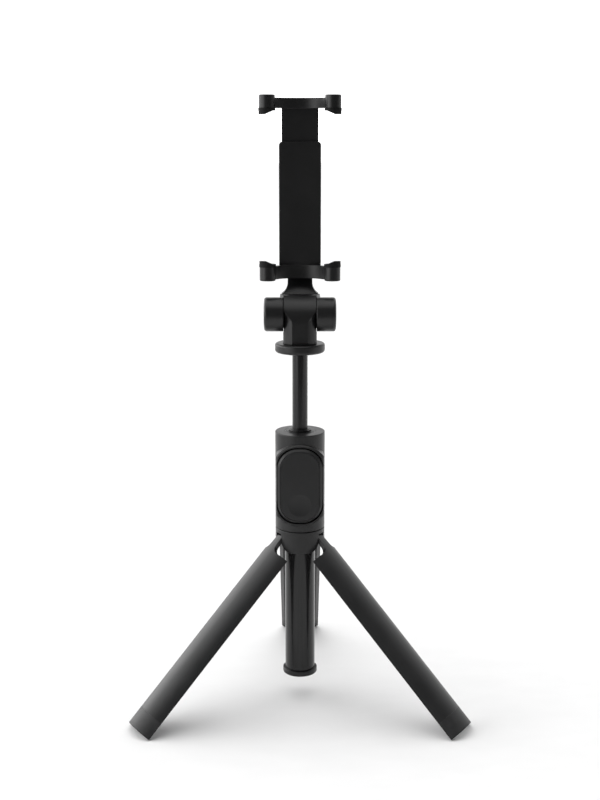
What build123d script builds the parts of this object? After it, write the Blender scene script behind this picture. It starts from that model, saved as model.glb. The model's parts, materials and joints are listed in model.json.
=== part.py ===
from build123d import *
import math
import os

# Phone stick with a folding tripod: telescopic pole, handle with a pull-out remote, tilting
# head and spring clamp. Millimetres, +Z up. The origin lies on the pole's axis at the level of
# the floor that the legs stand on, and the clamp faces -Y.

os.makedirs("parts", exist_ok=True)

# ---------------------------------------------------------------- driving dimensions
handle_radius = 12.0
seam_z = 88.05
handle_top_z = 136.1
cap_bottom_z = 11.9
flange_bottom_z = 174.7
tilt_axis_z = 192.7
lower_post_z = 208.0
lower_bar_z = 208.3
lower_grip_z = 215.8
upper_grip_z = 287.0
upper_bar_z = 293.0
upper_jaw_z = 294.3
turn_axis_z = 251.5

# Clearances: pressed together, running, sliding and between separate shells
press_gap = 0.02
running_gap = 0.05
slide_gap = 0.1
part_gap = 0.25
# How far a cutting shape reaches past what it cuts, and how near a selected edge has to be
overcut = 1.0
near = 0.1

# Leg hinge: pin radius from the pole's axis, pin height and opening angle
hinge_radius = 9.6
hinge_z = 83.28
leg_angle = 44.9
leg_azimuths = {"left": 210.0, "right": 330.0, "rear": 90.0}
leg_inner_radius = 10.0
leg_half_angle = 59.2
leg_top = -8.34
leg_end = -113.4
foot_length = 9.3
rib_radius = 8.7
rib_half_angle = 40.0
heel_radius = 9.3
heel_start_angle = 36.0
tab_half_width = 2.0
tab_foot_half_width = 2.7
tab_fillet = 3.0
pin_radius = 0.75
pin_half_length = 5.0
knuckle_radius = 1.9
knuckle_half_width = 2.0

# Yoke below the handle, which carries the leg pins between three lobes
lobe_bottom_z = 77.4
slot_half_width = 2.2
slot_roof_z = hinge_z + 2.9
lobe_corner_radius = 6.0
lobe_round = 0.4
spigot_height = 4.0
grip_ring_height = 3.0

# Handle shell: its hollow, its roof and its edges
cavity_radius = 10.2
cavity_front_y = -5.5
cavity_roof = 2.6
handle_top_round = 0.45
seam_chamfer = 0.2
tube_clearance = 0.2

# Telescopic pole: outer radius and bore of each tube, from the fixed one inwards
tube_radii = [(7.33, 6.83), (6.3, 5.85), (5.4, 4.95), (4.5, 4.1), (3.69, 3.25)]
section_top_z = [handle_top_z, handle_top_z + 0.1, handle_top_z + 0.9, handle_top_z + 1.1]
section_bottom_z = 18.3
guide_length = 12.0
slide_ring_length = 18.0
pole_rise = flange_bottom_z - section_top_z[3]

# Bottom cap of the fixed tube
cap_radius = 8.45
cap_height = 2.7
cap_plug_height = 3.5
cap_plug_wall = 1.6
cap_bottom_round = 0.7
cap_top_round = 0.35

# Boss on the front of the handle and the remote that sits in it
boss_half_width = 11.3
boss_bottom_z = 91.5
boss_top_z = 131.9
boss_sagitta = 5.3
boss_front_y = -12.9
boss_corner = 2.2
boss_chamfer = 0.7
pocket_floor_y = -7.9
pocket_size = (22.6, 37.7)
pocket_corner = 10.0
remote_centre_z = (boss_bottom_z + boss_top_z) / 2
remote_size = (21.4, 36.5)
remote_corner = 9.6
remote_back_y = -8.1
remote_rim_y = -13.9
remote_face_y = -14.0
face_size = (18.6, 33.7)
face_corner = 8.2
face_thickness = 1.2
face_gap = 0.06
face_round = 0.15
shutter_z = 102.5
shutter_radius = 5.5
dimple_depth = 0.35
remote_wall = 1.0
remote_chamfer = 1.0
remote_back_thickness = 1.2
remote_back_chamfer = 0.4

# Inside the remote: key flange, board, switch, cell and charging port
key_flange = (0.3, 0.25)
key_flange_thickness = 0.4
nub_radius = 1.0
nub_length = 0.35
board_size = (14.0, 14.4)
board_thickness = 0.8
board_offset = 1.3
switch_size = 4.5
switch_height = 0.8
plunger_radius = 1.2
plunger_height = 0.2
cell_size = (13.0, 12.5)
cell_thickness = 2.5
small_corner = 1.0
port_size = (7.5, 2.3)
port_bore = (6.8, 1.6)
port_tongue = (4.0, 0.5)
port_corner = 0.6
port_length = 5.0
port_end_length = 0.6
port_offset = 1.45
port_clearance = 0.1

# Leaf spring at the head of the remote's pocket
catch_bend = 0.4
catch_leaf = 0.06
catch_half_width = 2.4
catch_half_length = 1.4
catch_y = -10.0

# Head: flange on the pole, barrel with its tongue, and the fork's drums
flange_radius = 11.9
flange_height = 4.4
flange_socket = 2.2
flange_bottom_round = 1.3
flange_top_round = 1.0
barrel_radius = 8.05
barrel_corner = 2.2
barrel_low_radius = 8.85
barrel_flare_bottom = -2.0
barrel_flare_top = 7.0
cheek_x = 7.7
drum_clearance = 0.3
drum_radius = 8.1
drum_inner_x = 7.9
drum_outer_x = 17.0
drum_round = 1.3
drum_edge = 0.3
drum_pocket_radius = 6.2
drum_pocket_x = 11.0
drum_cap_x = 15.3
drum_cap_proud = 0.1
drum_cap_round = 0.4
washer_thickness = 0.2
washer_inset = 0.6
friction_washer_radius = 6.5
rivet_radius = 1.5
rivet_depth = 6.0
rivet_foot_radius = 2.9
rivet_foot_thickness = 1.6
spring_washer_thickness = 0.6
tilt_bush_radius = 2.6
tilt_bush_length = 3.0
bolt_radius = 1.5
bolt_head_radius = 2.8
bolt_head_height = 2.2
bolt_socket_radius = 1.4
bolt_socket_depth = 1.2
bolt_tail = 0.4
nut_radius = 3.1
nut_height = 2.4

# Tongue of the barrel, seen from the side: y and height over the tilt axis
nose_radius = 13.5
nose_start_height = -4.0
nose_top = (0.6, 8.6)
nose_crown = (5.0, 8.5)
nose_back_height = 5.6

# Arm of the fork: it runs up behind the clamp
arm_half_width = 6.0
neck_half_width = 8.9
neck_top_z = 205.7
neck_radius = 5.6
knee_z = 198.4
knee_depth = 3.0
knee_thinning = 1.5
shoulder_half_width = 9.6
shoulder_height = 8.1
ear_foot_height = -4.5
ear_slope = 1.2
bridge_foot_height = -1.0
bridge_foot_slope = 0.4
bridge_top_slope = 0.3
bridge_inner_y = 10.5
bridge_outer_y = 13.6
arm_front_y = 19.6
arm_back_y = 22.6
arm_pad_radius = 8.0
turn_rivet_radius = 2.0
turn_rivet_head_radius = 3.5
turn_rivet_head_thickness = 0.8
turn_rivet_tail_thickness = 0.7
turn_rivet_round = 0.4

# Clamp: posts, curved bars and the rail that joins them
post_radius = 3.8
post_x = 15.4
post_y = 6.0
post_round = 0.5
bar_inner_radius = 14.4
bar_outer_radius = 16.6
rail_half_width = 10.0
rail_front_y = 14.5
rail_wall = 1.0
rail_side_wall = 1.2
rail_corner = 1.5
rest_step = 0.2
rest_bottom_z = 216.0
channel_back_y = 18.1
cover_back_y = 19.3
rail_bottom_z = 209.5
rail_top_z = 272.8
cover_screw_x = 6.5
cover_screw_z = 212.6
cover_screw_radius = 0.8
cover_screw_length = 3.0
cover_screw_recess = 0.6
carriage_half_width = 8.7
carriage_slot_half = 3.9
carriage_bottom_z = 231.5
carriage_slot_top = 271.0
spring_x = 6.3
spring_pocket_half = 1.4
spring_top_z = 246.0
spring_coil_radius = 0.85
spring_wire_radius = 0.15
spring_turns = 16
spring_end = 0.3
pad_radius = 4.0
pad_thickness = 1.2
lip_height = 1.7
lip_back_y = 4.9
lip_crest_offset = 0.9
lip_foot_offset = 1.0


def finish(piece, label):
    """Names the finished piece and writes it as the node of that name."""
    piece.part.label = label
    export_step(piece.part, "parts/" + label + ".step")


def ring(label, outer, inner, bottom, height):
    """A plain ring or tube about the pole's axis."""
    with BuildPart() as piece:
        with BuildSketch(Plane.XY.offset(bottom)):
            Circle(outer)
            Circle(inner, mode=Mode.SUBTRACT)
        extrude(amount=height)
    finish(piece, label)


def x_plane(x):
    """A plane across X at that x: its own x runs along +Y and its own y along +Z."""
    return Plane(origin=(x, 0, 0), x_dir=(0, 1, 0), z_dir=(1, 0, 0))


def front_plane(y):
    """A plane facing -Y at that y: its own x runs along +X and its own y along +Z."""
    return Plane(origin=(0, y, 0), x_dir=(1, 0, 0), z_dir=(0, -1, 0))


def radial_plane(azimuth, distance, z):
    """A plane facing outwards at that azimuth: its own y runs up and its own x along the rim."""
    turn = math.radians(azimuth)
    outward = Vector(math.cos(turn), math.sin(turn), 0)
    rim = Vector(-math.sin(turn), math.cos(turn), 0)
    return Plane(origin=outward * distance + Vector(0, 0, z), x_dir=rim, z_dir=outward)


# ---------------------------------------------------------------- handle
# The boss has straight sides and ends that bow outwards; the remote's pocket opens at its sides.
boss_low = boss_bottom_z + boss_sagitta
boss_high = boss_top_z - boss_sagitta
handle_bottom_z = seam_z + part_gap
cavity_height = handle_top_z - handle_bottom_z - cavity_roof
with BuildPart() as handle_shell:
    with BuildSketch(Plane.XY.offset(handle_bottom_z)):
        Circle(handle_radius)
    extrude(amount=handle_top_z - handle_bottom_z)
    fillet(handle_shell.edges().group_by(Axis.Z)[-1], radius=handle_top_round)
    chamfer(handle_shell.edges().group_by(Axis.Z)[0], length=seam_chamfer)
    with BuildSketch(front_plane(0)) as boss:
        with BuildLine():
            Line((-boss_half_width, boss_low), (-boss_half_width, boss_high))
            ThreePointArc((-boss_half_width, boss_high), (0, boss_top_z), (boss_half_width, boss_high))
            Line((boss_half_width, boss_high), (boss_half_width, boss_low))
            ThreePointArc((boss_half_width, boss_low), (0, boss_bottom_z), (-boss_half_width, boss_low))
        make_face()
        fillet(boss.vertices(), radius=boss_corner)
    extrude(amount=-boss_front_y)
    rim_edges = handle_shell.faces().sort_by(Axis.Y)[0].edges()
    chamfer(rim_edges, length=boss_chamfer)
    with BuildSketch(front_plane(pocket_floor_y)):
        with Locations((0, remote_centre_z)):
            RectangleRounded(*pocket_size, pocket_corner)
    extrude(amount=pocket_floor_y - boss_front_y + overcut, mode=Mode.SUBTRACT)
    with BuildSketch(Plane.XY.offset(handle_bottom_z)):
        Circle(cavity_radius)
        with Locations((0, cavity_front_y - cavity_radius)):
            Rectangle(4 * cavity_radius, 2 * cavity_radius, mode=Mode.SUBTRACT)
    extrude(amount=cavity_height, mode=Mode.SUBTRACT)
    with BuildSketch(Plane.XY.offset(handle_bottom_z)):
        Circle(tube_radii[0][0] + tube_clearance)
    extrude(amount=handle_top_z - handle_bottom_z, mode=Mode.SUBTRACT)
finish(handle_shell, "handle_shell")

# The yoke's slots narrow upwards between the rounded lobes; each takes one leg's knuckle.
slot_foot = slot_half_width + lobe_corner_radius
corner_z = lobe_bottom_z + lobe_corner_radius - hinge_z
slot_mid = slot_foot - lobe_corner_radius * math.sqrt(0.5)
mid_z = corner_z - lobe_corner_radius * math.sqrt(0.5)
foot_z = lobe_bottom_z - hinge_z
roof_z = slot_roof_z - hinge_z
with BuildPart() as leg_yoke:
    with BuildSketch(Plane.XY.offset(lobe_bottom_z)):
        Circle(handle_radius)
    extrude(amount=seam_z - lobe_bottom_z)
    chamfer(leg_yoke.edges().group_by(Axis.Z)[-1], length=seam_chamfer)
    fillet(leg_yoke.edges().group_by(Axis.Z)[0], radius=lobe_round)
    with BuildSketch(Plane.XY.offset(seam_z)):
        Circle(cavity_radius - slide_gap)
        with Locations((0, cavity_front_y + slide_gap - cavity_radius)):
            Rectangle(4 * cavity_radius, 2 * cavity_radius, mode=Mode.SUBTRACT)
    extrude(amount=spigot_height)
    with BuildSketch(Plane.XY.offset(lobe_bottom_z)):
        Circle(tube_radii[0][0] + press_gap)
    extrude(amount=seam_z + spigot_height - lobe_bottom_z, mode=Mode.SUBTRACT)
    for azimuth in leg_azimuths.values():
        with BuildSketch(radial_plane(azimuth, handle_radius / 3, hinge_z)):
            with BuildLine():
                ThreePointArc((-slot_foot, foot_z), (-slot_mid, mid_z), (-slot_half_width, corner_z))
                Polyline((-slot_half_width, corner_z), (-slot_half_width, roof_z),
                         (slot_half_width, roof_z), (slot_half_width, corner_z))
                ThreePointArc((slot_half_width, corner_z), (slot_mid, mid_z), (slot_foot, foot_z))
                Polyline((slot_foot, foot_z), (slot_foot, foot_z - overcut),
                         (-slot_foot, foot_z - overcut), (-slot_foot, foot_z))
            make_face()
        extrude(amount=handle_radius, mode=Mode.SUBTRACT)
        with BuildSketch(radial_plane(azimuth + 90, -pin_half_length, hinge_z)):
            with Locations((-hinge_radius, 0)):
                Circle(pin_radius)
        extrude(amount=2 * pin_half_length, mode=Mode.SUBTRACT)
finish(leg_yoke, "leg_yoke")

with BuildPart() as leg_pins:
    for azimuth in leg_azimuths.values():
        with BuildSketch(radial_plane(azimuth + 90, -pin_half_length, hinge_z)):
            with Locations((-hinge_radius, 0)):
                Circle(pin_radius)
        extrude(amount=2 * pin_half_length)
finish(leg_pins, "leg_pins")

# An open ring above the yoke's spigot holds the fixed tube in the handle.
with BuildPart() as tube_grip_ring:
    with BuildSketch(Plane.XY.offset(seam_z + spigot_height + part_gap)):
        Circle(cavity_radius - slide_gap)
        Circle(tube_radii[0][0] + press_gap, mode=Mode.SUBTRACT)
        with Locations((0, cavity_front_y + slide_gap - cavity_radius)):
            Rectangle(4 * cavity_radius, 2 * cavity_radius, mode=Mode.SUBTRACT)
    extrude(amount=grip_ring_height)
finish(tube_grip_ring, "tube_grip_ring")

tube_foot_z = cap_bottom_z + cap_height
ring("outer_tube", *tube_radii[0], tube_foot_z, handle_top_z - tube_foot_z)

with BuildPart() as bottom_cap:
    with BuildSketch(Plane.XY.offset(cap_bottom_z)):
        Circle(cap_radius)
    extrude(amount=cap_height)
    fillet(bottom_cap.edges().group_by(Axis.Z)[0], radius=cap_bottom_round)
    fillet(bottom_cap.edges().group_by(Axis.Z)[-1], radius=cap_top_round)
    with BuildSketch(Plane.XY.offset(tube_foot_z)):
        Circle(tube_radii[0][1] - press_gap)
        Circle(tube_radii[0][1] - cap_plug_wall, mode=Mode.SUBTRACT)
    extrude(amount=cap_plug_height)
finish(bottom_cap, "bottom_cap")


# ---------------------------------------------------------------- telescopic sections
def guide(index):
    """The guide bush in the mouth of a tube, in which the next tube slides."""
    bottom = section_top_z[index] - guide_length
    bore = tube_radii[index + 1][0] + running_gap
    ring("guide_bush_" + str(index), tube_radii[index][1], bore, bottom, guide_length)


def section(index, rise, top):
    """One moving tube and the slide ring on its foot, which runs in the tube around it."""
    bottom = section_bottom_z + rise
    ring("pole_section_" + str(index), *tube_radii[index], bottom, top - bottom)
    outside = tube_radii[index - 1][1] - running_gap
    ring("slide_ring_" + str(index), outside, tube_radii[index][0], bottom, slide_ring_length)


for index in range(4):
    guide(index)
for index in (1, 2, 3):
    section(index, 0, section_top_z[index])
section(4, pole_rise, flange_bottom_z + flange_socket)

# ---------------------------------------------------------------- head
with BuildPart() as head_flange:
    with BuildSketch(Plane.XY.offset(flange_bottom_z)):
        Circle(flange_radius)
    extrude(amount=flange_height)
    fillet(head_flange.edges().group_by(Axis.Z)[0], radius=flange_bottom_round)
    fillet(head_flange.edges().group_by(Axis.Z)[-1], radius=flange_top_round)
    with BuildSketch(Plane.XY.offset(flange_bottom_z)):
        Circle(tube_radii[4][0] + press_gap)
    extrude(amount=flange_socket, mode=Mode.SUBTRACT)
    with BuildSketch(Plane.XY.offset(flange_bottom_z)):
        Circle(rivet_radius + running_gap)
    extrude(amount=flange_height, mode=Mode.SUBTRACT)
finish(head_flange, "head_flange")

flange_top_z = flange_bottom_z + flange_height
washer_bore = rivet_radius + slide_gap
ring("pan_washer", barrel_radius - washer_inset, washer_bore, flange_top_z, washer_thickness)

# The barrel is round below and squares up into a nose-shaped tongue between the fork's drums: a
# rounded square column, cut by a cone that widens upwards and by the nose's side outline.
barrel_bottom_z = flange_top_z + washer_thickness
nose_foot_z = tilt_axis_z + nose_start_height
nose_top_z = tilt_axis_z + nose_top[1]
nose_back = (barrel_radius, tilt_axis_z + nose_back_height)
rivet_top_z = barrel_bottom_z + rivet_depth
flare_radius = math.hypot(cheek_x, barrel_radius)
with BuildPart() as head_barrel:
    with BuildSketch(Plane.XY.offset(barrel_bottom_z)):
        RectangleRounded(2 * cheek_x, 2 * barrel_radius, barrel_corner)
    extrude(amount=nose_top_z + overcut - barrel_bottom_z)
    with BuildSketch(Plane.XZ):
        with BuildLine():
            Polyline((0, barrel_bottom_z), (barrel_low_radius, barrel_bottom_z),
                     (barrel_low_radius, tilt_axis_z + barrel_flare_bottom),
                     (flare_radius, tilt_axis_z + barrel_flare_top),
                     (flare_radius, nose_top_z + 2 * overcut), (0, nose_top_z + 2 * overcut), close=True)
        make_face()
    revolve(axis=Axis.Z, mode=Mode.INTERSECT)
    with BuildSketch(x_plane(-cheek_x)):
        with BuildLine():
            Line((-barrel_radius, barrel_bottom_z), (-barrel_radius, nose_foot_z))
            RadiusArc((-barrel_radius, nose_foot_z), (nose_top[0], nose_top_z), nose_radius)
            ThreePointArc((nose_top[0], nose_top_z), (nose_crown[0], tilt_axis_z + nose_crown[1]),
                          nose_back)
            Polyline(nose_back, (barrel_radius, barrel_bottom_z), (-barrel_radius, barrel_bottom_z))
        make_face()
    extrude(amount=2 * cheek_x, mode=Mode.INTERSECT)
    with BuildSketch(Plane.XY.offset(barrel_bottom_z)):
        Circle(barrel_radius)
    extrude(amount=tilt_axis_z - drum_radius - barrel_bottom_z - drum_clearance)
    with BuildSketch(Plane.XY.offset(barrel_bottom_z)):
        Circle(rivet_radius)
    extrude(amount=rivet_depth, mode=Mode.SUBTRACT)
    with BuildSketch(x_plane(-cheek_x)):
        with Locations((0, tilt_axis_z)):
            Circle(tilt_bush_radius)
    extrude(amount=2 * cheek_x, mode=Mode.SUBTRACT)
finish(head_barrel, "head_barrel")

rivet_head_z = flange_bottom_z + flange_socket - spring_washer_thickness
with BuildPart() as pan_rivet:
    with BuildSketch(Plane.XY.offset(rivet_head_z)):
        Circle(rivet_radius)
    extrude(amount=rivet_top_z - rivet_head_z)
    with BuildSketch(Plane.XY.offset(rivet_head_z - rivet_foot_thickness)):
        Circle(rivet_foot_radius)
    extrude(amount=rivet_foot_thickness)
finish(pan_rivet, "pan_rivet")

ring("pan_spring_washer", rivet_foot_radius, washer_bore, rivet_head_z, spring_washer_thickness)

with BuildPart() as tilt_bushes:
    for low in (-cheek_x, cheek_x - tilt_bush_length):
        with BuildSketch(x_plane(low)):
            with Locations((0, tilt_axis_z)):
                Circle(tilt_bush_radius)
                Circle(bolt_radius + running_gap, mode=Mode.SUBTRACT)
        extrude(amount=tilt_bush_length)
finish(tilt_bushes, "tilt_bushes")

# ---------------------------------------------------------------- fork and its arm
shoulder_top_z = tilt_axis_z + shoulder_height
bridge_foot_z = tilt_axis_z + bridge_foot_height
lean = arm_front_y - bridge_inner_y

# The arm leans back from the bridge and then runs straight up; its neck flares into the shoulders.
with BuildPart() as fork_arm:
    with BuildSketch(x_plane(-shoulder_half_width)):
        with BuildLine():
            Polyline((bridge_inner_y, knee_z - knee_depth), (bridge_inner_y, knee_z),
                     (arm_front_y, knee_z + lean), (arm_front_y, turn_axis_z), (arm_back_y, turn_axis_z),
                     (arm_back_y, knee_z + lean - knee_thinning), (bridge_outer_y, knee_z - knee_depth),
                     close=True)
        make_face()
    extrude(amount=2 * shoulder_half_width)
    with BuildSketch(front_plane(arm_back_y)):
        with BuildLine():
            RadiusArc((neck_half_width, shoulder_top_z), (arm_half_width, neck_top_z), neck_radius)
            Polyline((arm_half_width, neck_top_z), (arm_half_width, turn_axis_z),
                     (-arm_half_width, turn_axis_z), (-arm_half_width, neck_top_z))
            RadiusArc((-arm_half_width, neck_top_z), (-neck_half_width, shoulder_top_z), neck_radius)
            Polyline((-neck_half_width, shoulder_top_z), (-neck_half_width, knee_z - knee_depth),
                     (neck_half_width, knee_z - knee_depth), (neck_half_width, shoulder_top_z))
        make_face()
    extrude(amount=arm_back_y - bridge_inner_y, mode=Mode.INTERSECT)
    with BuildSketch(front_plane(arm_back_y)):
        with Locations((0, turn_axis_z)):
            Circle(arm_pad_radius)
    extrude(amount=arm_back_y - arm_front_y)

with BuildPart() as tilt_fork:
    for side in (-1, 1):
        inner = drum_inner_x if side > 0 else -drum_outer_x
        with BuildSketch(x_plane(inner)):
            with Locations((0, tilt_axis_z)):
                Circle(drum_radius)
        extrude(amount=drum_outer_x - drum_inner_x)
    drum_rims = tilt_fork.edges().filter_by(GeomType.CIRCLE)
    fillet([rim for rim in drum_rims if abs(rim.center().X) > drum_outer_x - near], radius=drum_round)
    fillet([rim for rim in tilt_fork.edges().filter_by(GeomType.CIRCLE)
            if abs(rim.center().X) < drum_inner_x + near], radius=drum_edge)
    # Ears behind the drums reach back to the bridge
    for side in (-1, 1):
        inner = drum_inner_x if side > 0 else -shoulder_half_width
        with BuildSketch(x_plane(inner)):
            with BuildLine():
                Polyline((0, tilt_axis_z + ear_foot_height), (bridge_outer_y, bridge_foot_z),
                         (bridge_outer_y, shoulder_top_z), (0, shoulder_top_z - ear_slope), close=True)
            make_face()
        extrude(amount=shoulder_half_width - drum_inner_x)
    with BuildSketch(x_plane(-shoulder_half_width)):
        with BuildLine():
            Polyline((bridge_inner_y, bridge_foot_z + bridge_foot_slope), (bridge_outer_y, bridge_foot_z),
                     (bridge_outer_y, shoulder_top_z),
                     (bridge_inner_y, shoulder_top_z - bridge_top_slope), close=True)
        make_face()
    extrude(amount=2 * shoulder_half_width)
    add(fork_arm.part)
    for side in (-1, 1):
        start = drum_pocket_x if side > 0 else -drum_outer_x
        with BuildSketch(x_plane(start)):
            with Locations((0, tilt_axis_z)):
                Circle(drum_pocket_radius)
        extrude(amount=drum_outer_x - drum_pocket_x, mode=Mode.SUBTRACT)
    with BuildSketch(x_plane(-drum_outer_x)):
        with Locations((0, tilt_axis_z)):
            Circle(bolt_radius)
    extrude(amount=2 * drum_outer_x, mode=Mode.SUBTRACT)
    with BuildSketch(front_plane(arm_back_y)):
        with Locations((0, turn_axis_z)):
            Circle(turn_rivet_radius)
    extrude(amount=arm_back_y - arm_front_y, mode=Mode.SUBTRACT)
finish(tilt_fork, "tilt_fork")

with BuildPart() as drum_caps:
    for side in (-1, 1):
        with BuildSketch(x_plane(side * drum_cap_x)):
            with Locations((0, tilt_axis_z)):
                Circle(drum_pocket_radius - press_gap)
        extrude(amount=side * (drum_outer_x - drum_cap_x + drum_cap_proud))
    fillet(drum_caps.edges().group_by(Axis.X)[0], radius=drum_cap_round)
    fillet(drum_caps.edges().group_by(Axis.X)[-1], radius=drum_cap_round)
finish(drum_caps, "drum_caps")

# The bolt's head lies in the left drum's pocket on a spring washer, and its nut in the right one.
bolt_seat_x = -drum_pocket_x - spring_washer_thickness
bolt_head_x = bolt_seat_x - bolt_head_height
bolt_end_x = drum_pocket_x + nut_height + bolt_tail
with BuildPart() as tilt_bolt:
    with BuildSketch(x_plane(bolt_seat_x)):
        with Locations((0, tilt_axis_z)):
            Circle(bolt_radius)
    extrude(amount=bolt_end_x - bolt_seat_x)
    with BuildSketch(x_plane(bolt_head_x)):
        with Locations((0, tilt_axis_z)):
            Circle(bolt_head_radius)
    extrude(amount=bolt_head_height)
    with BuildSketch(x_plane(bolt_head_x)):
        with Locations((0, tilt_axis_z)):
            RegularPolygon(radius=bolt_socket_radius, side_count=6)
    extrude(amount=bolt_socket_depth, mode=Mode.SUBTRACT)
finish(tilt_bolt, "tilt_bolt")

with BuildPart() as bolt_spring_washer:
    with BuildSketch(x_plane(bolt_seat_x)):
        with Locations((0, tilt_axis_z)):
            Circle(rivet_foot_radius)
            Circle(bolt_radius, mode=Mode.SUBTRACT)
    extrude(amount=spring_washer_thickness)
finish(bolt_spring_washer, "bolt_spring_washer")

with BuildPart() as tilt_nut:
    with BuildSketch(x_plane(drum_pocket_x)):
        with Locations((0, tilt_axis_z)):
            RegularPolygon(radius=nut_radius, side_count=6)
            Circle(bolt_radius, mode=Mode.SUBTRACT)
    extrude(amount=nut_height)
finish(tilt_nut, "tilt_nut")

with BuildPart() as friction_washers:
    for low in (-drum_inner_x, cheek_x):
        with BuildSketch(x_plane(low)):
            with Locations((0, tilt_axis_z)):
                Circle(friction_washer_radius)
                Circle(bolt_radius + running_gap, mode=Mode.SUBTRACT)
        extrude(amount=drum_inner_x - cheek_x)
finish(friction_washers, "friction_washers")

# ---------------------------------------------------------------- clamp
with BuildPart() as turn_rivet:
    with BuildSketch(front_plane(arm_back_y)):
        with Locations((0, turn_axis_z)):
            Circle(turn_rivet_radius)
    extrude(amount=arm_back_y - channel_back_y)
    with BuildSketch(front_plane(channel_back_y)):
        with Locations((0, turn_axis_z)):
            Circle(turn_rivet_head_radius)
    extrude(amount=turn_rivet_head_thickness)
    with BuildSketch(front_plane(arm_back_y + turn_rivet_tail_thickness)):
        with Locations((0, turn_axis_z)):
            Circle(turn_rivet_head_radius)
    extrude(amount=turn_rivet_tail_thickness)
    fillet(turn_rivet.edges().group_by(Axis.Y)[-1], radius=turn_rivet_round)
finish(turn_rivet, "turn_rivet")

with BuildPart() as turn_washer:
    with BuildSketch(front_plane(arm_front_y)):
        with Locations((0, turn_axis_z)):
            Circle(arm_pad_radius - washer_inset)
            Circle(turn_rivet_radius + slide_gap, mode=Mode.SUBTRACT)
    extrude(amount=arm_front_y - cover_back_y)
finish(turn_washer, "turn_washer")

# The curved bar spans this half angle about the pole's axis, with its ends inside the posts.
bar_half_angle = 62.0
bar_end = math.radians(90 - bar_half_angle)
lower_body_z = lower_grip_z - pad_thickness
upper_body_z = upper_grip_z + pad_thickness


def bar_point(radius, angle):
    """A point of the bar's outline at that radius and angle from +X."""
    return (radius * math.cos(angle), radius * math.sin(angle))


bar_outer_start = bar_point(bar_outer_radius, bar_end)
bar_outer_stop = bar_point(bar_outer_radius, math.pi - bar_end)
bar_inner_start = bar_point(bar_inner_radius, math.pi - bar_end)
bar_inner_stop = bar_point(bar_inner_radius, bar_end)
channel_half_width = rail_half_width - rail_side_wall
rail_middle_z = (rail_bottom_z + rail_top_z) / 2
cover_screw_places = [(-cover_screw_x, cover_screw_z), (cover_screw_x, cover_screw_z)]
with BuildPart() as clamp_rail:
    with BuildSketch(Plane.XY.offset(lower_post_z)):
        with Locations((-post_x, post_y), (post_x, post_y)):
            Circle(post_radius)
    extrude(amount=lower_body_z - lower_post_z)
    fillet(clamp_rail.edges().group_by(Axis.Z)[0], radius=post_round)
    with BuildSketch(Plane.XY.offset(lower_bar_z)):
        with BuildLine():
            ThreePointArc(bar_outer_start, (0, bar_outer_radius), bar_outer_stop)
            Line(bar_outer_stop, bar_inner_start)
            ThreePointArc(bar_inner_start, (0, bar_inner_radius), bar_inner_stop)
            Line(bar_inner_stop, bar_outer_start)
        make_face()
    extrude(amount=lower_body_z - lower_bar_z)
    with BuildSketch(front_plane(channel_back_y)):
        with Locations((0, rail_middle_z)):
            RectangleRounded(2 * rail_half_width, rail_top_z - rail_bottom_z, rail_corner)
    extrude(amount=channel_back_y - rail_front_y - rest_step)
    # The face that the phone's back rests on starts above the lower jaw and stands proud
    with BuildSketch(front_plane(rail_front_y + rest_step)):
        with Locations((0, (rest_bottom_z + rail_top_z) / 2)):
            RectangleRounded(2 * rail_half_width, rail_top_z - rest_bottom_z, rail_corner)
    extrude(amount=rest_step)
    with BuildSketch(front_plane(channel_back_y)):
        with Locations((0, (lower_grip_z + rail_top_z) / 2 + overcut)):
            Rectangle(2 * channel_half_width, rail_top_z - lower_grip_z + 2 * overcut)
    extrude(amount=channel_back_y - rail_front_y - rail_wall, mode=Mode.SUBTRACT)
    with BuildSketch(front_plane(channel_back_y)):
        with Locations(*cover_screw_places):
            Circle(cover_screw_radius)
    extrude(amount=cover_screw_length, mode=Mode.SUBTRACT)
finish(clamp_rail, "clamp_rail")

with BuildPart() as rail_cover:
    with BuildSketch(front_plane(cover_back_y)):
        with Locations((0, rail_middle_z)):
            RectangleRounded(2 * rail_half_width, rail_top_z - rail_bottom_z, rail_corner)
        with Locations((0, turn_axis_z)):
            Circle(turn_rivet_radius + running_gap, mode=Mode.SUBTRACT)
        with Locations(*cover_screw_places):
            Circle(cover_screw_radius + press_gap, mode=Mode.SUBTRACT)
    extrude(amount=cover_back_y - channel_back_y)
finish(rail_cover, "rail_cover")

with BuildPart() as cover_screws:
    with BuildSketch(front_plane(cover_back_y)):
        with Locations(*cover_screw_places):
            Circle(cover_screw_radius)
    extrude(amount=cover_back_y - channel_back_y + cover_screw_length)
    with BuildSketch(front_plane(cover_back_y)):
        with Locations(*cover_screw_places):
            Circle(cover_screw_radius / 2)
    extrude(amount=cover_screw_recess, mode=Mode.SUBTRACT)
finish(cover_screws, "cover_screws")


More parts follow.
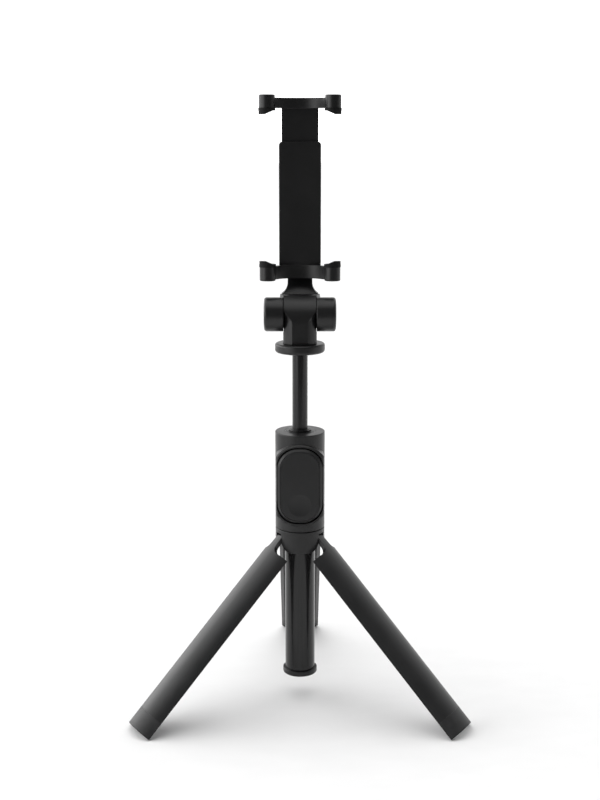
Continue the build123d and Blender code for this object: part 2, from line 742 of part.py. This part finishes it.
def jaw_pads(grip_z, direction, label):
    """Soft pads on a jaw's posts: a flat seat and a low lip in front that rises outwards.

    direction is +1 where the pads face up and -1 where they face down.
    """
    with BuildPart() as pads:
        with BuildSketch(Plane.XY.offset(grip_z - direction * pad_thickness)):
            with Locations((-post_x, post_y), (post_x, post_y)):
                Circle(pad_radius)
        extrude(amount=direction * (pad_thickness + lip_height))
        with BuildSketch(front_plane(lip_back_y)):
            with Locations((0, grip_z + direction * lip_height)):
                Rectangle(4 * post_x, 2 * lip_height)
        extrude(amount=-2 * pad_radius, mode=Mode.SUBTRACT)
        outer = post_x + pad_radius + overcut
        crest = grip_z + direction * lip_height
        tip = crest + direction * overcut
        with BuildSketch(front_plane(post_y)):
            for side in (-1, 1):
                with BuildLine():
                    Polyline((0, grip_z), (side * (post_x - pad_radius + lip_foot_offset), grip_z),
                             (side * (post_x + lip_crest_offset), crest),
                             (side * outer, crest), (side * outer, tip), (0, tip), close=True)
                make_face()
        extrude(amount=2 * pad_radius, mode=Mode.SUBTRACT)
    finish(pads, label)


jaw_pads(lower_grip_z, 1, "lower_jaw_pads")
jaw_pads(upper_grip_z, -1, "upper_jaw_pads")

# The upper jaw's carriage slides in the rail's channel; its slot clears the turning rivet's head.
carriage_front_y = rail_front_y + rail_wall + slide_gap
carriage_back_y = channel_back_y - slide_gap
with BuildPart() as upper_jaw:
    with BuildSketch(Plane.XY.offset(upper_body_z)):
        with Locations((-post_x, post_y), (post_x, post_y)):
            Circle(post_radius)
    extrude(amount=upper_jaw_z - upper_body_z)
    fillet(upper_jaw.edges().group_by(Axis.Z)[-1], radius=post_round)
    with BuildSketch(Plane.XY.offset(upper_body_z)):
        with BuildLine():
            ThreePointArc(bar_outer_start, (0, bar_outer_radius), bar_outer_stop)
            Line(bar_outer_stop, bar_inner_start)
            ThreePointArc(bar_inner_start, (0, bar_inner_radius), bar_inner_stop)
            Line(bar_inner_stop, bar_outer_start)
        make_face()
    extrude(amount=upper_bar_z - upper_body_z)
    with BuildSketch(front_plane(carriage_back_y)):
        with Locations((0, (carriage_bottom_z + upper_bar_z) / 2)):
            Rectangle(2 * carriage_half_width, upper_bar_z - carriage_bottom_z)
        with Locations((0, (carriage_bottom_z + carriage_slot_top) / 2)):
            Rectangle(2 * carriage_slot_half, carriage_slot_top - carriage_bottom_z, mode=Mode.SUBTRACT)
        with Locations((-spring_x, (carriage_bottom_z + spring_top_z) / 2),
                       (spring_x, (carriage_bottom_z + spring_top_z) / 2)):
            Rectangle(2 * spring_pocket_half, spring_top_z - carriage_bottom_z, mode=Mode.SUBTRACT)
    extrude(amount=carriage_back_y - carriage_front_y)
finish(upper_jaw, "upper_jaw")

# Coil springs pull the upper jaw down from hooks at the foot of the channel.
spring_bottom_z = lower_grip_z + slide_gap
spring_height = spring_top_z - spring_bottom_z - 2 * spring_end
spring_y = (carriage_front_y + carriage_back_y) / 2
with BuildPart() as jaw_springs:
    for side in (-1, 1):
        with BuildLine(Plane(origin=(side * spring_x, spring_y, spring_bottom_z + spring_end))) as coil:
            Helix(pitch=spring_height / spring_turns, height=spring_height, radius=spring_coil_radius)
        with BuildSketch(Plane(origin=coil.line @ 0, z_dir=coil.line % 0)):
            Circle(spring_wire_radius)
        sweep(path=coil.line, is_frenet=True)
finish(jaw_springs, "jaw_springs")


# ---------------------------------------------------------------- legs
def leg_frame(azimuth, level):
    """Plane across an opened leg, that far along it from its pin: x outwards, z up the leg."""
    turn = math.radians(azimuth)
    tilt = math.radians(leg_angle)
    outward = Vector(math.cos(turn), math.sin(turn), 0)
    up = Vector(0, 0, 1)
    across = outward * math.cos(tilt) + up * math.sin(tilt)
    along = up * math.cos(tilt) - outward * math.sin(tilt)
    pin = outward * hinge_radius + up * hinge_z
    return Plane(origin=pin - across * hinge_radius + along * level, x_dir=across, z_dir=along)


def leg_face(azimuth, distance):
    """Plane along an opened leg, that far from the leg's own axis: x along the rim, y up the leg."""
    base = leg_frame(azimuth, 0)
    return Plane(origin=base.origin + base.x_dir * distance, x_dir=base.y_dir, z_dir=base.x_dir)


def sector(outer, inner, start, stop):
    """A closed wire round a piece of ring between two angles from +X, in degrees."""
    low, high = math.radians(start), math.radians(stop)
    middle = (low + high) / 2
    with BuildSketch(mode=Mode.PRIVATE) as piece:
        with BuildLine():
            ThreePointArc(bar_point(outer, low), bar_point(outer, middle), bar_point(outer, high))
            Line(bar_point(outer, high), bar_point(inner, high))
            ThreePointArc(bar_point(inner, high), bar_point(inner, middle), bar_point(inner, low))
            Line(bar_point(inner, low), bar_point(outer, low))
        make_face()
    return piece.sketch


foot_top = leg_end + foot_length
rib_outer_radius = leg_inner_radius + tube_clearance
for side, azimuth in leg_azimuths.items():
    with BuildPart() as leg_shell:
        with BuildSketch(leg_frame(azimuth, foot_top)):
            add(sector(handle_radius, leg_inner_radius, -leg_half_angle, leg_half_angle))
        extrude(amount=-foot_top)
        with BuildSketch(leg_face(azimuth, 0)) as outline:
            with BuildLine():
                Polyline((-handle_radius, foot_top), (-handle_radius, leg_top),
                         (-tab_foot_half_width, leg_top), (-tab_half_width, 0), (tab_half_width, 0),
                         (tab_foot_half_width, leg_top), (handle_radius, leg_top),
                         (handle_radius, foot_top), close=True)
            make_face()
            tab_foot = [v for v in outline.vertices() if abs(abs(v.X) - tab_foot_half_width) < near]
            fillet(tab_foot, radius=tab_fillet)
        extrude(amount=handle_radius + overcut, mode=Mode.INTERSECT)
        with BuildSketch(radial_plane(azimuth + 90, -knuckle_half_width, hinge_z)):
            with Locations((-hinge_radius, 0)):
                Circle(knuckle_radius)
        extrude(amount=2 * knuckle_half_width)
        with BuildSketch(radial_plane(azimuth + 90, -pin_half_length, hinge_z)):
            with Locations((-hinge_radius, 0)):
                Circle(pin_radius + running_gap)
        extrude(amount=2 * pin_half_length, mode=Mode.SUBTRACT)
    finish(leg_shell, "leg_shell_" + side)

    with BuildPart() as leg_foot:
        with BuildSketch(leg_frame(azimuth, leg_end)):
            add(sector(handle_radius, leg_inner_radius, -leg_half_angle, leg_half_angle))
        extrude(amount=foot_length)
        with BuildSketch(leg_frame(azimuth, leg_end)):
            add(sector(rib_outer_radius, rib_radius, -rib_half_angle, rib_half_angle))
        extrude(amount=foot_length / 2)
        with BuildSketch(leg_frame(azimuth, leg_end)):
            add(sector(rib_outer_radius, heel_radius, heel_start_angle, leg_half_angle))
        extrude(amount=foot_length / 2)
        split(bisect_by=Plane.XY, keep=Keep.TOP)
    finish(leg_foot, "leg_foot_" + side)

# ---------------------------------------------------------------- remote
remote_joint_y = remote_back_y - remote_back_thickness
face_back_y = remote_face_y + face_thickness
lip_y = face_back_y - running_gap
remote_bottom_z = remote_centre_z - remote_size[1] / 2
port_y = remote_joint_y - port_offset
port_z = remote_bottom_z + port_clearance
inner_width = remote_size[0] - 2 * remote_wall
inner_height = remote_size[1] - 2 * remote_wall
key_width, key_height = face_size
with BuildPart() as remote_shell:
    with BuildSketch(front_plane(remote_joint_y)):
        with Locations((0, remote_centre_z)):
            RectangleRounded(*remote_size, remote_corner)
    extrude(amount=remote_joint_y - remote_rim_y)
    chamfer(remote_shell.edges().group_by(Axis.Y)[0], length=remote_chamfer)
    with BuildSketch(front_plane(remote_joint_y)):
        with Locations((0, remote_centre_z)):
            RectangleRounded(inner_width, inner_height, remote_corner - remote_wall)
    extrude(amount=remote_joint_y - lip_y, mode=Mode.SUBTRACT)
    with BuildSketch(front_plane(lip_y)):
        with Locations((0, remote_centre_z)):
            RectangleRounded(key_width + 2 * face_gap, key_height + 2 * face_gap, face_corner + face_gap)
    extrude(amount=lip_y - remote_rim_y, mode=Mode.SUBTRACT)
    with BuildSketch(Plane.XY.offset(remote_bottom_z - overcut)):
        with Locations((0, port_y)):
            RectangleRounded(port_size[0] + 2 * port_clearance, port_size[1] + 2 * port_clearance,
                             port_corner + port_clearance)
    extrude(amount=2 * overcut + remote_wall, mode=Mode.SUBTRACT)
finish(remote_shell, "remote_shell")

with BuildPart() as remote_back:
    with BuildSketch(front_plane(remote_back_y)):
        with Locations((0, remote_centre_z)):
            RectangleRounded(*remote_size, remote_corner)
    extrude(amount=remote_back_thickness)
    chamfer(remote_back.edges().group_by(Axis.Y)[-1], length=remote_back_chamfer)
finish(remote_back, "remote_back")

# The face is one flexible key with a dished thumb place; its flange is held behind the shell's rim
# and its nub stands just short of the switch.
flange_back_y = face_back_y + key_flange_thickness
flange_width = key_width + 2 * key_flange[0]
flange_height_z = key_height + 2 * key_flange[1]
dish_radius = (shutter_radius ** 2 + dimple_depth ** 2) / (2 * dimple_depth)
with BuildPart() as shutter_key:
    with BuildSketch(front_plane(face_back_y)):
        with Locations((0, remote_centre_z)):
            RectangleRounded(*face_size, face_corner)
    extrude(amount=face_thickness)
    fillet(shutter_key.edges().group_by(Axis.Y)[0], radius=face_round)
    with Locations((0, remote_face_y - dish_radius + dimple_depth, shutter_z)):
        Sphere(dish_radius, mode=Mode.SUBTRACT)
    with BuildSketch(front_plane(flange_back_y)):
        with Locations((0, remote_centre_z)):
            RectangleRounded(flange_width, flange_height_z, face_corner + key_flange[1])
    extrude(amount=key_flange_thickness)
    with BuildSketch(front_plane(flange_back_y + nub_length)):
        with Locations((0, shutter_z)):
            Circle(nub_radius)
    extrude(amount=nub_length)
finish(shutter_key, "shutter_key")

board_front_y = remote_joint_y - board_offset
board_bottom_z = port_z + port_length + 2 * part_gap
board_top_z = board_bottom_z + board_size[1]
with BuildPart() as remote_board:
    with BuildSketch(front_plane(board_front_y + board_thickness)):
        with Locations((0, (board_bottom_z + board_top_z) / 2)):
            RectangleRounded(*board_size, small_corner)
    extrude(amount=board_thickness)
finish(remote_board, "remote_board")

with BuildPart() as shutter_switch:
    with BuildSketch(front_plane(board_front_y)):
        with Locations((0, shutter_z)):
            Rectangle(switch_size, switch_size)
    extrude(amount=switch_height)
    with BuildSketch(front_plane(board_front_y - switch_height)):
        with Locations((0, shutter_z)):
            Circle(plunger_radius)
    extrude(amount=plunger_height)
finish(shutter_switch, "shutter_switch")

with BuildPart() as remote_battery:
    with BuildSketch(front_plane(remote_joint_y - slide_gap)):
        with Locations((0, board_top_z + 2 * part_gap + cell_size[1] / 2)):
            RectangleRounded(*cell_size, small_corner)
    extrude(amount=cell_thickness)
finish(remote_battery, "remote_battery")

# Charging port: an open metal sleeve with a closed end and a contact tongue
port_wall = (port_size[0] - port_bore[0]) / 2
with BuildPart() as charge_port:
    with BuildSketch(Plane.XY.offset(port_z)):
        with Locations((0, port_y)):
            RectangleRounded(*port_size, port_corner + port_wall)
            RectangleRounded(*port_bore, port_corner, mode=Mode.SUBTRACT)
    extrude(amount=port_length)
    with BuildSketch(Plane.XY.offset(port_z + port_length - port_end_length)):
        with Locations((0, port_y)):
            RectangleRounded(port_bore[0] + port_wall, port_bore[1] + port_wall, port_corner)
    extrude(amount=port_end_length)
    with BuildSketch(Plane.XY.offset(port_z + small_corner)):
        with Locations((0, port_y)):
            Rectangle(*port_tongue)
    extrude(amount=port_length - port_end_length - small_corner)
finish(charge_port, "charge_port")

# A bent leaf at the head of the pocket presses on the remote.
catch_z = remote_centre_z + pocket_size[1] / 2 - slide_gap
catch_back_y = catch_y + catch_half_length
catch_front_y = catch_y - catch_half_length
with BuildPart() as remote_catch:
    with BuildSketch(x_plane(-catch_half_width)):
        with BuildLine():
            Polyline((catch_back_y, catch_z), (catch_y, catch_z - catch_bend), (catch_front_y, catch_z),
                     (catch_front_y, catch_z - catch_leaf), (catch_y, catch_z - catch_bend - catch_leaf),
                     (catch_back_y, catch_z - catch_leaf), close=True)
        make_face()
    extrude(amount=2 * catch_half_width)
finish(remote_catch, "remote_catch")
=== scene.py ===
import json
import math

import bpy
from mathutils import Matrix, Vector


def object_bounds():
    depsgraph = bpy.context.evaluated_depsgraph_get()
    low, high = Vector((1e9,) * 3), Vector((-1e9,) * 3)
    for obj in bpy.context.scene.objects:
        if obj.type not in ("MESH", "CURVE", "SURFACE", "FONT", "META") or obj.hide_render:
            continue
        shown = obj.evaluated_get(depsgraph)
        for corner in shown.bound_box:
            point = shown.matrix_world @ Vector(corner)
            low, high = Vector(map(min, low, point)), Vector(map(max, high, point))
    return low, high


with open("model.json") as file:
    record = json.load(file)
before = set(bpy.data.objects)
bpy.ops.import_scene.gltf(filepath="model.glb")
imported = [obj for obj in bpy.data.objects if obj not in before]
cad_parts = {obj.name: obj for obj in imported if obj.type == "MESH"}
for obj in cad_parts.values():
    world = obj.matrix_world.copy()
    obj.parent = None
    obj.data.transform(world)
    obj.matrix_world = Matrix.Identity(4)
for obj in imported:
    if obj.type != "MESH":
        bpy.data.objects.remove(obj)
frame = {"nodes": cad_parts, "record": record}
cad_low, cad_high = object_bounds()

MM = 0.001


# ---------------------------------------------------------------- material nodes
def nodes_of(material):
    """The material's node tree, its Principled shader and its object-space coordinates."""
    material.use_nodes = True
    tree = material.node_tree
    shader = next(n for n in tree.nodes if n.type == "BSDF_PRINCIPLED")
    place = tree.nodes.new("ShaderNodeTexCoord")
    return tree, shader, place.outputs["Object"]


def noise(tree, place, size, detail=3.0, stretch=(1.0, 1.0, 1.0)):
    """A noise whose blotches are about that size in metres, pulled out along an axis by stretch."""
    scale = tree.nodes.new("ShaderNodeMapping")
    scale.inputs["Scale"].default_value = [1.0 / (size * s) for s in stretch]
    tree.links.new(place, scale.inputs["Vector"])
    texture = tree.nodes.new("ShaderNodeTexNoise")
    texture.inputs["Scale"].default_value = 1.0
    texture.inputs["Detail"].default_value = detail
    tree.links.new(scale.outputs["Vector"], texture.inputs["Vector"])
    return texture.outputs["Fac"]


def spread(tree, value, low, high, start=0.3, stop=0.7):
    """Maps a value that runs from start to stop onto the range from low to high."""
    change = tree.nodes.new("ShaderNodeMapRange")
    change.inputs["From Min"].default_value = start
    change.inputs["From Max"].default_value = stop
    change.inputs["To Min"].default_value = low
    change.inputs["To Max"].default_value = high
    tree.links.new(value, change.inputs["Value"])
    return change.outputs["Result"]


def colour_by(tree, shader, pattern, dark, light):
    """Colours the surface from dark to light with the pattern."""
    factor = spread(tree, pattern, 0.0, 1.0)
    mix = tree.nodes.new("ShaderNodeMix")
    mix.data_type = "RGBA"
    mix.inputs["A"].default_value = (*dark, 1.0)
    mix.inputs["B"].default_value = (*light, 1.0)
    tree.links.new(factor, mix.inputs["Factor"])
    tree.links.new(mix.outputs["Result"], shader.inputs["Base Color"])


def rough_by(tree, shader, pattern, rough, swing):
    """Varies the roughness with the pattern, by up to the swing each way."""
    tree.links.new(spread(tree, pattern, rough - swing, rough + swing), shader.inputs["Roughness"])


def worn_edges(tree, radius):
    """Rounds the shading of sharp edges by that radius, as a moulded or handled edge is."""
    node = tree.nodes.new("ShaderNodeBevel")
    node.samples = 4
    node.inputs["Radius"].default_value = radius
    return node.outputs["Normal"]


def bump(tree, shader, height, strength, distance, under=None):
    """Raises the surface by the height; under is a bump that this one lies on."""
    node = tree.nodes.new("ShaderNodeBump")
    node.inputs["Strength"].default_value = strength
    node.inputs["Distance"].default_value = distance
    tree.links.new(height, node.inputs["Height"])
    if under is not None:
        tree.links.new(under, node.inputs["Normal"])
    tree.links.new(node.outputs["Normal"], shader.inputs["Normal"])
    return node.outputs["Normal"]


# ---------------------------------------------------------------- materials
def moulded(name, dark, light, rough, specular=0.2):
    """Moulded plastic: spark-eroded grain, slow changes of shade and handled, shinier patches."""
    blotch_size = 14 * MM
    handled_size = 9 * MM
    flow_size = 5 * MM
    grain_size = 0.22 * MM
    relief = 0.004 * MM
    edge_radius = 0.3 * MM
    material = bpy.data.materials.new(name)
    tree, shader, place = nodes_of(material)
    shader.inputs["Specular IOR Level"].default_value = specular
    colour_by(tree, shader, noise(tree, place, blotch_size, detail=4.0), dark, light)
    rough_by(tree, shader, noise(tree, place, handled_size, detail=5.0), rough, swing=0.04)
    flow = bump(tree, shader, noise(tree, place, flow_size, detail=2.0), strength=0.5,
                distance=relief, under=worn_edges(tree, edge_radius))
    bump(tree, shader, noise(tree, place, grain_size, detail=2.0), strength=1.0,
         distance=relief, under=flow)
    return material


def rubber(name, dark, light, rough, specular=0.15):
    """Soft rubber: matt, dusty, with a coarser skin."""
    dust_size = 3 * MM
    skin_size = 0.3 * MM
    skin_depth = 0.01 * MM
    edge_radius = 0.4 * MM
    material = bpy.data.materials.new(name)
    tree, shader, place = nodes_of(material)
    shader.inputs["Specular IOR Level"].default_value = specular
    dust = noise(tree, place, dust_size, detail=6.0)
    colour_by(tree, shader, dust, dark, light)
    rough_by(tree, shader, dust, rough, swing=0.05)
    bump(tree, shader, noise(tree, place, skin_size, detail=4.0), strength=1.0,
         distance=skin_depth, under=worn_edges(tree, edge_radius))
    return material


def lacquer(name, dark, light, rough):
    """Black lacquer on a drawn tube: glossy, with faint draw lines along the pole."""
    line_width = 0.5 * MM
    line_stretch = (1.0, 1.0, 60.0)
    line_depth = 0.003 * MM
    worn_size = 6 * MM
    worn_stretch = (1.0, 1.0, 4.0)
    edge_radius = 0.15 * MM
    material = bpy.data.materials.new(name)
    tree, shader, place = nodes_of(material)
    shader.inputs["Specular IOR Level"].default_value = 0.3
    shader.inputs["Coat Weight"].default_value = 0.1
    shader.inputs["Coat Roughness"].default_value = 0.12
    lines = noise(tree, place, line_width, detail=3.0, stretch=line_stretch)
    colour_by(tree, shader, lines, dark, light)
    rough_by(tree, shader, noise(tree, place, worn_size, detail=5.0, stretch=worn_stretch), rough,
             swing=0.05)
    bump(tree, shader, lines, strength=0.6, distance=line_depth, under=worn_edges(tree, edge_radius))
    return material


def steel(name, dark, light, rough):
    """Bare metal with fine, even tool marks."""
    mark_size = 0.25 * MM
    mark_depth = 0.004 * MM
    material = bpy.data.materials.new(name)
    tree, shader, place = nodes_of(material)
    shader.inputs["Metallic"].default_value = 1.0
    marks = noise(tree, place, mark_size, detail=4.0)
    colour_by(tree, shader, marks, dark, light)
    rough_by(tree, shader, marks, rough, swing=0.08)
    bump(tree, shader, marks, strength=0.8, distance=mark_depth)
    return material


def circuit(name):
    """Green board with paler tracks under the mask, which are the pattern's mortar."""
    pattern_scale = 400.0
    mortar_width = 0.03
    track_depth = 0.02 * MM
    haze_size = 1 * MM
    material = bpy.data.materials.new(name)
    tree, shader, place = nodes_of(material)
    tracks = tree.nodes.new("ShaderNodeTexBrick")
    tracks.inputs["Color1"].default_value = (0.01, 0.10, 0.04, 1.0)
    tracks.inputs["Color2"].default_value = (0.01, 0.12, 0.05, 1.0)
    tracks.inputs["Mortar"].default_value = (0.03, 0.22, 0.10, 1.0)
    tracks.inputs["Scale"].default_value = pattern_scale
    tracks.inputs["Mortar Size"].default_value = mortar_width
    tree.links.new(place, tracks.inputs["Vector"])
    tree.links.new(tracks.outputs["Color"], shader.inputs["Base Color"])
    haze = spread(tree, noise(tree, place, haze_size), low=0.3, high=0.45)
    tree.links.new(haze, shader.inputs["Roughness"])
    bump(tree, shader, tracks.outputs["Fac"], strength=0.5, distance=track_depth)
    return material


def black(level):
    """A neutral, very slightly cool black at that level."""
    cool = 1.03
    return (level, level, level * cool)


finishes = {
    "body_plastic": moulded("satin_body_plastic", black(0.010), black(0.012), rough=0.33, specular=0.35),
    "leg_plastic": moulded("satin_leg_plastic", black(0.016), black(0.020), rough=0.34, specular=0.45),
    "foot_rubber": rubber("foot_rubber", black(0.019), black(0.026), rough=0.42, specular=0.4),
    "pad_rubber": rubber("pad_rubber", black(0.006), black(0.010), rough=0.7),
    "pole_metal": lacquer("pole_lacquer", black(0.010), black(0.013), rough=0.17),
    "guide_plastic": moulded("guide_plastic", black(0.014), black(0.020), rough=0.5),
    "remote_plastic": moulded("remote_plastic", black(0.011), black(0.013), rough=0.32, specular=0.3),
    "key_plastic": moulded("key_plastic", black(0.012), black(0.014), rough=0.36, specular=0.3),
    "steel": steel("fastener_steel", (0.42, 0.42, 0.43), (0.58, 0.58, 0.59), rough=0.32),
    "spring_steel": steel("spring_steel", (0.25, 0.25, 0.27), (0.38, 0.38, 0.40), rough=0.35),
    "washer_plastic": moulded("washer_plastic", black(0.008), black(0.011), rough=0.5),
    "board": circuit("circuit_board"),
    "cell": steel("cell_foil", (0.45, 0.46, 0.48), (0.60, 0.61, 0.63), rough=0.4),
}

slot_of = {row["node"]: row["material_slot"] for row in frame["record"]["subparts"]}
for name, node in frame["nodes"].items():
    node.data.materials.clear()
    node.data.materials.append(finishes[slot_of[name]])


# ---------------------------------------------------------------- floor
def floor_finish():
    """Pale studio paper with a faint tooth."""
    fibre_size = 2 * MM
    material = bpy.data.materials.new("studio_paper")
    tree, shader, place = nodes_of(material)
    fibre = noise(tree, place, fibre_size)
    colour_by(tree, shader, fibre, (0.85, 0.85, 0.85), (0.87, 0.87, 0.87))
    shader.inputs["Roughness"].default_value = 0.9
    shader.inputs["Specular IOR Level"].default_value = 0.1
    return material


# The paper starts below the camera, so that dark fronts mirror little of it, and runs far back.
FLOOR_HALF_WIDTH = 12.0
FLOOR_FRONT = -0.6
FLOOR_BACK = 12.0
bpy.ops.mesh.primitive_plane_add(size=2.0, location=(0, (FLOOR_FRONT + FLOOR_BACK) / 2, cad_low.z))
floor = bpy.context.object
floor.name = "studio_floor"
floor.scale = (FLOOR_HALF_WIDTH, (FLOOR_BACK - FLOOR_FRONT) / 2, 1.0)
floor.data.materials.append(floor_finish())


# ---------------------------------------------------------------- light
def sky_light(name, tilt, strength, width):
    """A soft disc of light overhead; tilt turns it about X and Y, width is its angle, in degrees."""
    data = bpy.data.lights.new(name, "SUN")
    data.energy = strength
    data.angle = math.radians(width)
    lamp = bpy.data.objects.new(name, data)
    lamp.rotation_euler = [math.radians(a) for a in (*tilt, 0)]
    bpy.context.scene.collection.objects.link(lamp)


def combine(tree, operation, first, second):
    """Two values put together by a Math node's operation, such as ADD or MULTIPLY."""
    node = tree.nodes.new("ShaderNodeMath")
    node.operation = operation
    tree.links.new(first, node.inputs[0])
    tree.links.new(second, node.inputs[1])
    return node.outputs["Value"]


def studio_world(pale, dim, left_gain):
    """A studio that is pale behind the object, darker in front and brightest low on its left.

    Each ramp runs between two values of the looking direction's X, Y or Z, from -1 to 1.
    """
    front_to_back = (-0.5, 0.35)
    left_edge = (-0.85, -0.45)
    upper_edge = (0.45, 0.8)
    world = bpy.data.worlds.new("studio")
    bpy.context.scene.world = world
    world.use_nodes = True
    tree = world.node_tree
    back = next(n for n in tree.nodes if n.type == "BACKGROUND")
    place = tree.nodes.new("ShaderNodeTexCoord")
    parts = tree.nodes.new("ShaderNodeSeparateXYZ")
    tree.links.new(place.outputs["Generated"], parts.inputs["Vector"])
    behind = spread(tree, parts.outputs["Y"], dim, pale, *front_to_back)
    left = spread(tree, parts.outputs["X"], left_gain, 0.0, *left_edge)
    low = spread(tree, parts.outputs["Z"], 1.0, 0.0, *upper_edge)
    level = combine(tree, "ADD", behind, combine(tree, "MULTIPLY", left, low))
    # What the camera sees past the paper is white.
    seen = tree.nodes.new("ShaderNodeLightPath").outputs["Is Camera Ray"]
    tree.links.new(combine(tree, "ADD", level, seen), back.inputs["Strength"])
    back.inputs["Color"].default_value = (1.0, 1.0, 1.0, 1.0)


sky_light("overhead_sky", tilt=(0, -8), strength=1.15, width=70)
studio_world(pale=1.05, dim=0.10, left_gain=3.0)

# ---------------------------------------------------------------- camera
CAMERA_PLACE = (0.0, -0.5906, 0.2765)
CAMERA_DOWN = 11.98
CAMERA_LENS = 56.47
NEAREST_SEEN = 0.01
FURTHEST_SEEN = 100.0
camera = bpy.data.objects.new("camera", bpy.data.cameras.new("camera"))
camera.location = CAMERA_PLACE
camera.rotation_euler = (math.radians(90 - CAMERA_DOWN), 0, 0)
camera.data.lens = CAMERA_LENS
camera.data.clip_start = NEAREST_SEEN
camera.data.clip_end = FURTHEST_SEEN
bpy.context.scene.collection.objects.link(camera)
bpy.context.scene.camera = camera
bpy.context.scene.view_settings.view_transform = "Standard"
